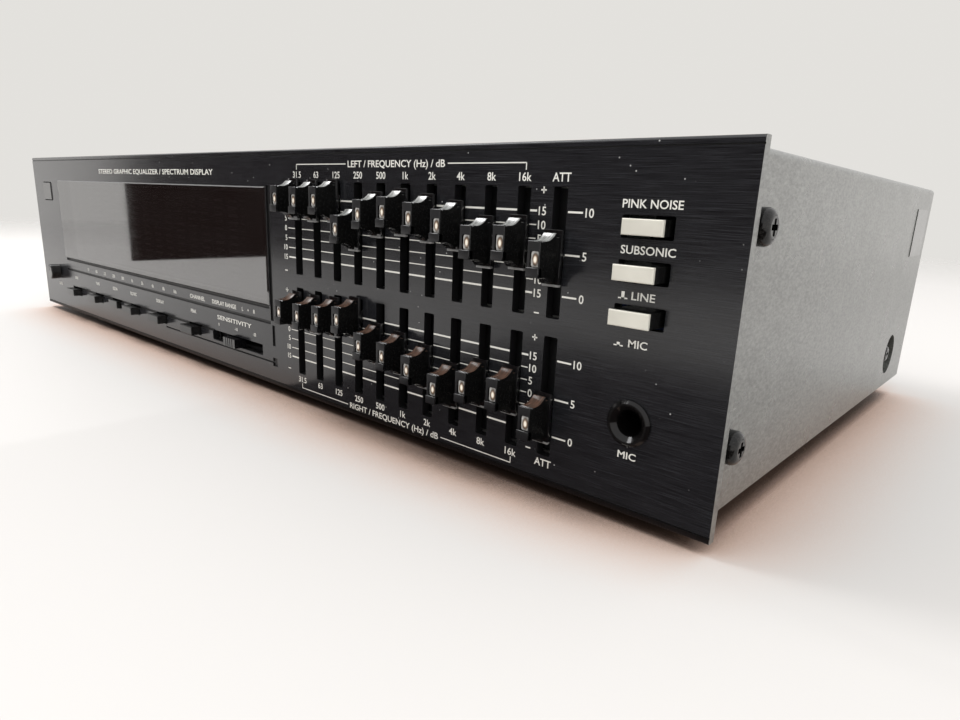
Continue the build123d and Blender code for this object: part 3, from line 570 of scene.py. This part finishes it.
def phosphor():
    """Unlit display segments."""
    return moulding("phosphor", (0.42, 0.43, 0.39), (0.55, 0.56, 0.50), 0.6, 4000.0, 0.000003)


def button_face():
    """The light, faintly metallic face of a push button."""
    finish = Finish("light_button_plastic", {"IOR": 1.5, "Metallic": 0.15})
    grain = finish.noise(1.0, (200, 2000, 3000), detail=3.0)
    broad = finish.noise(120.0, detail=2.0)
    finish.colour(finish.ramp(broad, (0.3, (0.66, 0.64, 0.565)), (0.7, (0.74, 0.72, 0.64))))
    finish.roughness(grain, 0.28, 0.40)
    finish.bump(grain, 0.000004, 0.3)
    return finish.material


FINISHES = {
    "black_anodised_panel": anodised_panel(),
    "panel_edge": panel_edge(),
    # Painted shade: a darker, less glossy copy of the panel for its rolled lower edge, which mirrors the
    # shaded floor.
    "panel_roll_shade": moulding("panel_roll_shade", (0.004, 0.003, 0.003), (0.010, 0.008, 0.008), 0.4, 3000.0, ior=1.25),
    "smoked_window": smoked_window(),
    "display_glass": display_glass(),
    "circuit_board": circuit_board(),
    "zinc_steel": zinc_steel(),
    "switch_plastic": moulding("switch_plastic", (0.010, 0.010, 0.011), (0.020, 0.020, 0.022), 0.6),
    "black_enamel": enamel(),
    "flap_enamel": enamel("flap_enamel", (0.10, 0.10, 0.096), (0.17, 0.17, 0.165)),
    "foot_rubber": moulding("foot_rubber", (0.012, 0.012, 0.012), (0.03, 0.03, 0.03), 0.8, 900.0, 0.0001),
    "black_screw_steel": screw_steel(),
    "black_moulding": moulding("black_moulding", (0.005, 0.005, 0.005), (0.012, 0.012, 0.012), 0.10, ior=1.6),
    # Painted shade: a darker, less glossy copy of the black moulding for the jack's mouth and the nut behind
    # its front ring.
    "jack_mouth_shade": moulding("jack_mouth_shade", (0.003, 0.003, 0.003), (0.007, 0.006, 0.006), 0.12, ior=1.38),
    "nickel_plate": nickel(),
    "capacitor_sleeve": moulding("capacitor_sleeve", (0.012, 0.018, 0.06), (0.02, 0.03, 0.09), 0.25, 300.0),
    "chip_epoxy": moulding("chip_epoxy", (0.012, 0.012, 0.012), (0.03, 0.03, 0.03), 0.6, 2500.0),
    "core_laminations": laminations(),
    "winding_tape": winding_tape(),
    "black_knob_plastic": knob_gloss(),
    "knob_face": knob_face(),
    # Painted reflection in the flares' dust: light where the upper row mirrors the bright room, brown where
    # the lower row mirrors brown things.
    "knob_dust": knob_dust("knob_dust", (0.36, 0.37, 0.36), 1.85),
    "knob_wear": knob_dust("knob_wear", (0.115, 0.062, 0.042), 1.3),
    # Painted highlight: grey for the bright line where the flange's lower edge catches the light.
    "flange_rim_highlight": moulding("flange_rim_highlight", (0.10, 0.10, 0.10), (0.26, 0.26, 0.255), 0.3, ior=1.6),
    # Painted shade: a darker, less glossy copy of the knob plastic for the knobs' sides, which face the dark
    # room.
    "knob_side": moulding("knob_side", (0.002, 0.002, 0.002), (0.006, 0.006, 0.006), 0.25, ior=1.22),
    "lens": lens_finish(),
    "light_button_plastic": button_face(),
    "black_button_plastic": moulding(
        "black_button_plastic", (0.005, 0.005, 0.005), (0.011, 0.011, 0.011), 0.16
    ),
    "level_knob_plastic": moulding("level_knob_plastic", (0.008, 0.008, 0.008), (0.016, 0.015, 0.014), 0.2),
    "power_face": moulding("power_face", (0.03, 0.03, 0.03), (0.05, 0.05, 0.048), 0.24, 2000.0, ior=1.8),
    "capacitor_top": moulding("capacitor_top", (0.45, 0.45, 0.45), (0.60, 0.60, 0.60), 0.35),
    "insulator_white": moulding("insulator_white", (0.60, 0.59, 0.55), (0.72, 0.71, 0.68), 0.35),
    "insulator_red": moulding("insulator_red", (0.30, 0.015, 0.012), (0.42, 0.025, 0.02), 0.35),
    "print_ink": print_ink(),
    "phosphor": phosphor(),
}


# ---------------------------------------------------------------- the CAD nodes' finishes
def finish_nodes():
    """Gives every CAD node the finish of its slot in the record."""
    for node in NODES.values():
        node.data.materials[0] = FINISHES[node.data.materials[0].name.split(".")[0]]


def second_finish(name, finish, chosen):
    """Gives the faces that chosen(centre, normal) picks another finish. The shape stays."""
    mesh = NODES[name].data
    mesh.materials.append(FINISHES[finish])
    slot = len(mesh.materials) - 1
    for face in mesh.polygons:
        if chosen(face.center, face.normal):
            face.material_index = slot


PLATE = 0.92                # millimetres: how thick a push button's front plate is
ROLL = 1.6                  # millimetres: how far the panel's rolled lower edge reaches up


def finish_details():
    """Second finishes, for parts of a node that are made or painted differently."""
    face_y = PANEL_LOW.y
    second_finish("front_panel", "panel_edge", lambda c, n: c.y > face_y + 0.1 * MM and n.y > -0.98)
    second_finish("front_panel", "panel_edge", lambda c, n: c.y > face_y + 0.2 * MM)
    # The rolled lower edge takes the painted-shade copy.
    second_finish("front_panel", "panel_roll_shade", lambda c, n: c.z < PANEL_LOW.z + ROLL * MM and n.y < -0.05)
    # The panel's right end takes the case enamel, with its painted reflection.
    second_finish("front_panel", "black_enamel", lambda c, n: c.x > PANEL_HIGH.x - 0.1 * MM and n.x > 0.9)
    # Painted reflection: the level knob's front takes the lighter, glossier power-button finish, for the
    # bright room it mirrors.
    second_finish("level_knob", "power_face", lambda c, n: n.y < -0.9)
    for name, node in NODES.items():
        if node.data.materials[0] is FINISHES["light_button_plastic"]:
            plate_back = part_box(name)[0].y + PLATE * MM
            second_finish(name, "black_button_plastic", lambda c, n: c.y > plate_back)
    nut_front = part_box("mic_jack_nut")[0].y + 0.05 * MM
    # The jack's socket and the nut behind its front ring take the painted-shade copy.
    second_finish("mic_jack_socket", "jack_mouth_shade", lambda c, n: True)
    second_finish("mic_jack_nut", "jack_mouth_shade", lambda c, n: c.y > nut_front)
    plate_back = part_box("button_power")[0].y + PLATE * MM
    second_finish("button_power", "power_face", lambda c, n: c.y < plate_back)
    second_finish("top_cover", "flap_enamel", lambda c, n: c.x > COVER_HIGH.x - 0.12 * MM and n.x > 0.9)
    second_finish("board_capacitors", "capacitor_top", lambda c, n: n.z > 0.9)
    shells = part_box("rca_shells")
    upper = (shells[0].z + shells[1].z) / 2
    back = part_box("rca_block")[1].y - 0.5 * MM
    second_finish("rca_block", "insulator_white", lambda c, n: c.y > back and c.z > upper)
    second_finish("rca_block", "insulator_red", lambda c, n: c.y > back and c.z < upper)


# ---------------------------------------------------------------- printed lettering and scales
INK_T = 0.012               # thickness of the ink
INK_GAP = 0.01              # it lies this far off the panel, so that the two never share a plane
CAPITAL = 0.69              # height of the built-in font's capitals at size 1


class Print:
    """Lettering and lines on an upright face, gathered in one mesh."""

    def __init__(self, face):
        self.bm = bmesh.new()
        self.face = face        # turns a place (x, z) in millimetres and a height off it into a point

    def bar(self, x0, x1, z0, z1):
        corners = [self.face(x, z, h) for h in (INK_GAP, INK_GAP + INK_T) for x, z in ((x0, z0), (x1, z1))]
        low = Vector([min(c[k] for c in corners) for k in range(3)])
        high = Vector([max(c[k] for c in corners) for k in range(3)])
        add_block(self.bm, low, high)

    def line(self, x0, x1, z, width=0.3):
        self.bar(x0, x1, z - width / 2, z + width / 2)

    def text(self, words, x, z, height=2.0, width=None, side="CENTER"):
        """Words with capitals of that height, standing about x and centred on z."""
        curve = bpy.data.curves.new("text", "FONT")
        curve.body = words
        curve.size = 1.0
        curve.resolution_u = 3
        curve.offset = 0.012
        curve.extrude = 0.05
        lettering = bpy.data.objects.new("text", curve)
        bpy.context.scene.collection.objects.link(lettering)
        bpy.context.view_layer.update()
        seen = lettering.evaluated_get(bpy.context.evaluated_depsgraph_get())
        mesh = bpy.data.meshes.new_from_object(seen)
        bpy.data.objects.remove(lettering)
        bpy.data.curves.remove(curve)
        left = min(v.co.x for v in mesh.vertices)
        right = max(v.co.x for v in mesh.vertices)
        tall = height / CAPITAL
        wide = width / (right - left) if width else tall
        shift = {"LEFT": left, "CENTER": (left + right) / 2, "RIGHT": right}[side]
        for v in mesh.vertices:
            along = x + (v.co.x - shift) * wide
            up = z + (v.co.y - CAPITAL / 2) * tall
            off = INK_GAP + (INK_T if v.co.z > 0 else 0)
            v.co = self.face(along, up, off)
        part = bmesh.new()
        part.from_mesh(mesh)
        bpy.data.meshes.remove(mesh)
        bmesh.ops.remove_doubles(part, verts=part.verts[:], dist=1e-7)
        bmesh.ops.recalc_face_normals(part, faces=part.faces[:])
        join(self.bm, part)

    def done(self, name, finish="print_ink"):
        piece = new_object(name, self.bm, [FINISHES[finish]])
        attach(piece, "case")
        return piece


SLIDERS = [name for name in NODES if name.startswith(("slider_left_", "slider_right_"))]
BANDS = [name.removeprefix("slider_left_") for name in SLIDERS if name.startswith("slider_left_")]
BANDS.sort(key=lambda band: drawing_x(f"slider_left_{band}"))
SLOT_HALF = 2.05            # from a slot's middle to the ends of the scale lines beside it
SLOT_PITCH = 10.9           # from one slot to the next
DB_STEP = 10 / 3            # millimetres of travel for 5 dB
THICK, THIN, SIGN = 0.5, 0.28, 0.35         # widths of scale lines, and of plus and minus signs
SIGN_HALF = 0.8
BRACKET_HALF, BRACKET_GAP = 49.2, 22.3      # a bracket's ends, and the gap for its words
BAND_X, BAND_PITCH = 73.0, 11.65            # the display's first column, and from one to the next


def zero_height(slider):
    """Where a slider stands at 0 dB, in millimetres above the panel's lower edge."""
    low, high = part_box(slider)
    travel = next(j["range_m"] for j in frame["joints"] if j["child"] == slider)
    return ((low.z + high.z) / 2 + sum(travel) / 2 - PANEL_LOW.z) / MM


def scale_rows(ink):
    """The dB lines across each channel's slots, their numbers, and the attenuators' marks."""
    columns = [drawing_x(f"slider_left_{band}") for band in BANDS]
    first, last, att = columns[0], columns[-2], columns[-1]
    for channel in ("left", "right"):
        zero = zero_height(f"slider_{channel}_att")
        for step in range(-3, 4):
            z = zero + step * DB_STEP
            width = THICK if abs(step) == 3 else THIN
            ink.line(first - 6.1, first - SLOT_HALF, z, width)
            for x in columns[:-2]:
                ink.line(x + SLOT_HALF, x + SLOT_PITCH - SLOT_HALF, z, width)
            ink.line(last + SLOT_HALF, last + 4.2, z, width)
            number = str(abs(step) * 5)
            ink.text(number, last + 4.7, z, 2.0, side="LEFT")
            ink.text(number, first - 7.0, z, 1.8, side="RIGHT")
        for x, z0 in ((last + 5.9, zero + 14.9), (first - 8.2, zero + 14.2)):
            ink.line(x - SIGN_HALF, x + SIGN_HALF, z0, SIGN)
            ink.bar(x - SIGN / 2, x + SIGN / 2, z0 - SIGN_HALF, z0 + SIGN_HALF)
            ink.line(x - SIGN_HALF, x + SIGN_HALF, zero - 14.9, SIGN)
        for number, rise in ((10, 10.0), (5, 0.0), (0, -10.0)):
            ink.line(att + 2.4, att + 6.6, zero + rise, 0.45)
            ink.text(str(number), att + 7.3, zero + rise, 2.0, side="LEFT")
    for x, band in zip(columns, BANDS):
        words = {"31": "31.5", "att": "ATT"}.get(band, band)
        wide = 5.3 if band == "att" else None
        ink.text(words, x, 77.8, 2.0, wide)
        ink.text(words, x, 6.0, 2.0, wide)
    for words, z, turn in (("LEFT / FREQUENCY (Hz) / dB", 81.1, -1), ("RIGHT / FREQUENCY (Hz) / dB", 2.9, 1)):
        middle = (first + last) / 2
        ink.text(words, middle, z, 1.9, 42.5)
        for side in (-1, 1):
            near, end = middle + side * BRACKET_GAP, middle + side * BRACKET_HALF
            ink.line(min(near, end), max(near, end), z, THIN)
            ink.bar(end - 0.14, end + 0.14, min(z, z + turn * 1.7), max(z, z + turn * 1.7))


def side_labels(ink):
    """The labels of the buttons and the jack at the right."""
    x = drawing_x("button_subsonic") + 0.35
    ink.text("PINK NOISE", x + 0.2, 72.4, 1.8, 14.4)
    ink.text("SUBSONIC", x + 0.2, 62.5, 1.8, 13.3)
    ink.text("LINE", x + 0.3, 52.4, 1.75, 5.8)
    ink.text("MIC", x + 0.15, 41.6, 1.75, 4.8)
    ink.text("MIC", x + 0.2, 14.9, 1.7, 4.8)
    for z, tall in ((51.5, 1.7), (40.6, 0.9)):
        ink.bar(x - 6.0, x - 3.6, z, z + 0.3)
        ink.bar(x - 5.2, x - 4.4, z, z + tall)


def left_labels(ink):
    """The title, and the labels of the controls under and beside the window."""
    ink.text("STEREO GRAPHIC EQUALIZER / SPECTRUM DISPLAY", 160.5, 78.5, 2.1, 117.0)
    band_z, function_z = 26.7, 20.2
    words = ["LINE", "TAPE", "EQ IN", "EQ REC", "DISPLAY", "PEAK"]
    for number, word in enumerate(words, start=1):
        ink.text(word, drawing_x(f"button_function_{number}"), function_z, 1.5)
    x = drawing_x("selector_knob")
    ink.text("SENSITIVITY", x - 1.5, 20.6, 1.7, 27.0)
    for step, label in ((-14, "0"), (0, "-10"), (14, "-20")):
        ink.text(label, x + step, 17.6, 1.2)
    for column, word in enumerate(BANDS[:10]):
        ink.text(word, BAND_X + BAND_PITCH * column, band_z, 1.5)
    ink.text("CHANNEL", 199.0, band_z, 1.7, 13.5)
    ink.text("DISPLAY RANGE", 221.8, band_z, 1.7, 19.5)
    for place, word in zip((236.5, 240.7, 245.2), ("L", "+", "R")):
        ink.text(word, place, band_z, 1.5)
    ink.text("LEVEL", drawing_x("level_knob"), 14.2, 1.5)


def make_panel_print():
    ink = Print(lambda x, z, off: at(x, -off, z))
    scale_rows(ink)
    side_labels(ink)
    left_labels(ink)
    ink.done("panel_print")


def make_rear_print():
    """Generic labels round the phono sockets, seen from behind."""
    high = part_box("rca_block")[1]
    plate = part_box("rear_panel")[1].y
    shells_low, shells_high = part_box("rca_shells")
    middle = (shells_low.x + shells_high.x) / 2

    def face(x, z, off):
        return Vector((middle - x * MM, plate + off * MM, z * MM))

    ink = Print(face)
    top = high.z / MM + 2.0
    for x, word in ((-27, "IN"), (-9, "OUT"), (9, "PLAY"), (27, "REC")):
        ink.text(word, x, top + 1.2, 2.0)
    ink.text("LINE", -18, top + 5.2, 2.2)
    ink.text("TAPE", 18, top + 5.2, 2.2)
    for x0, x1 in ((-34, -2), (2, 34)):
        ink.line(x0, x1, top + 3.3, 0.25)
    rows = (shells_high.z - 5.6 * MM) / MM, (shells_low.z + 5.6 * MM) / MM
    for word, z in zip("LR", rows):
        ink.text(word, 49.0, z, 2.4)
    gland_low, gland_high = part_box("cord_gland")
    gland_x = (middle - (gland_low.x + gland_high.x) / 2) / MM
    ink.text("AC IN", gland_x, gland_high.z / MM + 3.5, 2.0)
    ink.done("rear_print")


# ---------------------------------------------------------------- display
def make_segments():
    """The unlit bars of the spectrum display: the bands' columns, and a narrow scale beside them."""
    tube_front = (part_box("display_tube")[0].y - PANEL_LOW.y) / MM
    columns, rows, low_row, row_pitch = 14, 11, 39.5, 2.83
    bm = bmesh.new()

    def bar(x, z, wide, tall):
        low = at(x - wide / 2, tube_front - 0.05, z - tall / 2)
        high = at(x + wide / 2, tube_front - 0.01, z + tall / 2)
        add_block(bm, low, high)

    for column in range(columns):
        for row in range(rows):
            bar(BAND_X + BAND_PITCH * column, low_row + row_pitch * row, 6.6, 1.0)
    for row in range(rows):
        bar(232.0, low_row + row_pitch * row, 2.2, 0.5)
    for column in range(columns):
        bar(BAND_X + BAND_PITCH * column, 35.6, 4.4, 1.2)
    piece = new_object("display_segments", bm, [FINISHES["phosphor"]])
    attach(piece, "case")


# ---------------------------------------------------------------- slider knobs
def arc_up(steps=8):
    """The flare of the knob's top: an arc that leaves the flat block and rises towards the panel."""
    start_y, start_z, run, rise = -7.2, 4.2, 3.8, 1.8
    radius = (run * run + rise * rise) / (2 * rise)
    end = math.asin(run / radius)
    angles = [end * k / steps for k in range(steps + 1)]
    return [(start_y + radius * math.sin(a), start_z + radius * (1 - math.cos(a))) for a in angles]


def knob_outline():
    """The knob from the side, as (y, z), with y = 0 on the panel's face."""
    upper = [(-9.3, 4.2), (-8.85, 4.2), (-8.75, 3.95), (-8.35, 3.95), (-8.25, 4.2)]
    upper += arc_up()
    upper += [(-2.9, 6.0), (-2.9, 5.0), (-1.8, 5.0)]
    lower = [(y, -z) for y, z in reversed(upper) if not -9.2 < y < -8.2]
    return upper + lower


KNOB_HALF = 1.85            # half the width of a slider knob
GLOSS, FACE, LENS, LEVER, SIDE, TOP, RIM = range(7)         # a knob's material slots


def add_knob_block(bm, low, high, bevel, slot=GLOSS):
    """Adds a block with corners given in millimetres to a knob."""
    add_block(bm, Vector(low) * MM, Vector(high) * MM, bevel * MM, slot)


def knob_mesh(top):
    """A slider knob with its lens, flange and lever, about the slider's centre on the panel's face.

    Its upper flare has the finish named top.
    """
    body_bm = bmesh.new()
    scaled = [(y * MM, z * MM) for y, z in knob_outline()]
    add_prism(body_bm, scaled, -KNOB_HALF * MM, KNOB_HALF * MM, 0.13 * MM, segments=3)
    body = new_object("knob_body", body_bm, [])
    cutter_bm = bmesh.new()
    add_knob_block(cutter_bm, (-1.0, -11.0, -1.85), (1.5, -7.9, 1.95), 0.3)
    cutter = new_object("knob_cutter", cutter_bm, [])
    notch = body.modifiers.new("notch", "BOOLEAN")
    notch.solver = "EXACT"
    notch.object = cutter
    bpy.context.view_layer.update()
    cut = bpy.data.meshes.new_from_object(body.evaluated_get(bpy.context.evaluated_depsgraph_get()))
    bm = bmesh.new()
    bm.from_mesh(cut)
    for scrap in (body, cutter):
        bpy.data.objects.remove(scrap)
    for face in bm.faces:
        centre = face.calc_center_median()
        satin = face.normal.y < -0.9 and centre.y < -8.9 * MM
        flare = face.normal.z > 0.5 and centre.y > -7.9 * MM and centre.z > 0
        if satin:
            face.material_index = FACE
        # The sides take the painted-shade copy of the knob plastic.
        elif abs(face.normal.x) > 0.95:
            face.material_index = SIDE
        else:
            face.material_index = TOP if flare else GLOSS

    block = bmesh.new()
    low, high = Vector((-KNOB_HALF, -9.7, -4.2)) * MM, Vector((KNOB_HALF, -8.2, -1.9)) * MM
    add_block(block, low, high, 0.14 * MM, segments=3)
    for face in block.faces:
        face.material_index = FACE if face.normal.y < -0.9 else GLOSS
    scratch = bpy.data.meshes.new("scratch")
    block.to_mesh(scratch)
    block.free()
    bm.from_mesh(scratch)

    add_knob_block(bm, (-2.5, -2.0, -6.2), (2.5, -1.0, 6.75), 0.12)
    # The flange's lower strip, in the painted-highlight grey.
    add_knob_block(bm, (-2.5, -2.05, -6.75), (2.5, -1.0, -6.15), 0.12, RIM)
    add_lens(bm)
    add_knob_block(bm, (-0.6, -1.2, -2.0), (0.6, 9.0, 2.0), 0.1, LEVER)
    mesh = bpy.data.meshes.new("slider_knob")
    bm.to_mesh(mesh)
    bm.free()
    for finish in ("black_knob_plastic", "knob_face", "lens", "zinc_steel", "knob_side", top, "flange_rim_highlight"):
        mesh.materials.append(FINISHES[finish])
    shade(mesh, 40)
    return mesh


def add_lens(bm):
    """The light pipe: a block with a bulging front, round in the middle and squarish at its rim."""
    part = bmesh.new()
    across, up, steps, rings = 1.12, 1.84, 28, 6
    middle_x, middle_z, rim_y, deep = 0.25, 0.05, -8.72, 0.55
    grid = []
    for ring in range(rings + 1):
        share = ring / rings
        bulge = deep * math.sqrt(max(0.0, 1 - (share * 0.92) ** 2))
        row = []
        for k in range(steps):
            a = math.tau * k / steps
            squarish = 1 / max(abs(math.cos(a)) ** 6 + abs(math.sin(a)) ** 6, 1e-9) ** (1 / 6)
            grow = 1 + (squarish - 1) * share
            x = middle_x + across * share * math.cos(a) * grow
            z = middle_z + up * share * math.sin(a) * grow
            row.append((x, rim_y - bulge, z))
        grid.append(row)
    grid.append([(x, -8.0, z) for x, _, z in grid[-1]])
    centre = part.verts.new(Vector((middle_x, rim_y - deep, middle_z)) * MM)
    loops = [[part.verts.new(Vector(p) * MM) for p in row] for row in grid[1:]]
    for k in range(steps):
        part.faces.new((centre, loops[0][k], loops[0][(k + 1) % steps]))
    for inner, outer in zip(loops, loops[1:]):
        for k in range(steps):
            n = (k + 1) % steps
            part.faces.new((inner[k], outer[k], outer[n], inner[n]))
    part.faces.new(loops[-1])
    bmesh.ops.recalc_face_normals(part, faces=part.faces[:])
    join(bm, part, LENS)


def make_knobs():
    """A knob for each slider. Both channels' tops carry a dust film with painted reflection: light on the
    left channel's, brown on the right channel's.
    """
    meshes = {"left": knob_mesh("knob_dust"), "right": knob_mesh("knob_wear")}
    for slider in SLIDERS:
        low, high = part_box(slider)
        short = slider.removeprefix("slider_")
        knob = bpy.data.objects.new("knob_" + short, meshes[short.split("_")[0]])
        knob.location = ((low.x + high.x) / 2, PANEL_LOW.y, (low.z + high.z) / 2)
        bpy.context.scene.collection.objects.link(knob)
        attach(knob, slider)
        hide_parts(slider)


# ---------------------------------------------------------------- chips on the main board
CHIP_COLUMNS, CHIP_ROWS, CHIP_PITCH = 5, 3, 30.0
CHIP_LONG, CHIP_WIDE = 20.0, 6.6
LEG_PITCH = 2.54


def make_chip_legs():
    """The legs of the chips on the main board: each comes out of the chip's side and turns down."""
    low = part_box("board_chips")[0]
    board_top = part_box("main_board")[1].z
    bend = board_top + 2.0 * MM
    bm = bmesh.new()

    def piece_of_leg(x, half, ends, z0, z1):
        near, far = sorted(ends)
        add_block(bm, (x - half * MM, near, z0), (x + half * MM, far, z1))

    for column in range(CHIP_COLUMNS):
        for row in range(CHIP_ROWS):
            x = low.x + (CHIP_LONG / 2 + column * CHIP_PITCH) * MM
            y = low.y + (CHIP_WIDE / 2 + row * CHIP_PITCH) * MM
            for leg in range(7):
                for side in (-1, 1):
                    leg_x = x + (leg - 3) * LEG_PITCH * MM
                    wall = y + side * CHIP_WIDE / 2 * MM
                    out = wall + side * 0.9 * MM
                    shoulder = (wall - side * 0.3 * MM, out)
                    piece_of_leg(leg_x, 0.7, shoulder, bend - 0.125 * MM, bend + 0.125 * MM)
                    piece_of_leg(leg_x, 0.35, (out - side * 0.25 * MM, out), board_top, bend - 0.1 * MM)
    piece = new_object("chip_legs", bm, [FINISHES["nickel_plate"]])
    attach(piece, "case")


# ---------------------------------------------------------------- the scene
make_camera()
make_world()
make_light("overhead", (-0.65, -0.20, 0.95), size=0.55, watts=7.0)
make_light("fill", (1.1, -0.1, 0.9), size=0.8, watts=5.0, mirrored=False)
make_floor()
make_dark_room()
finish_nodes()
finish_details()
make_panel_print()
make_rear_print()
make_segments()
make_knobs()
make_chip_legs()

bpy.context.scene.view_settings.view_transform = "Standard"
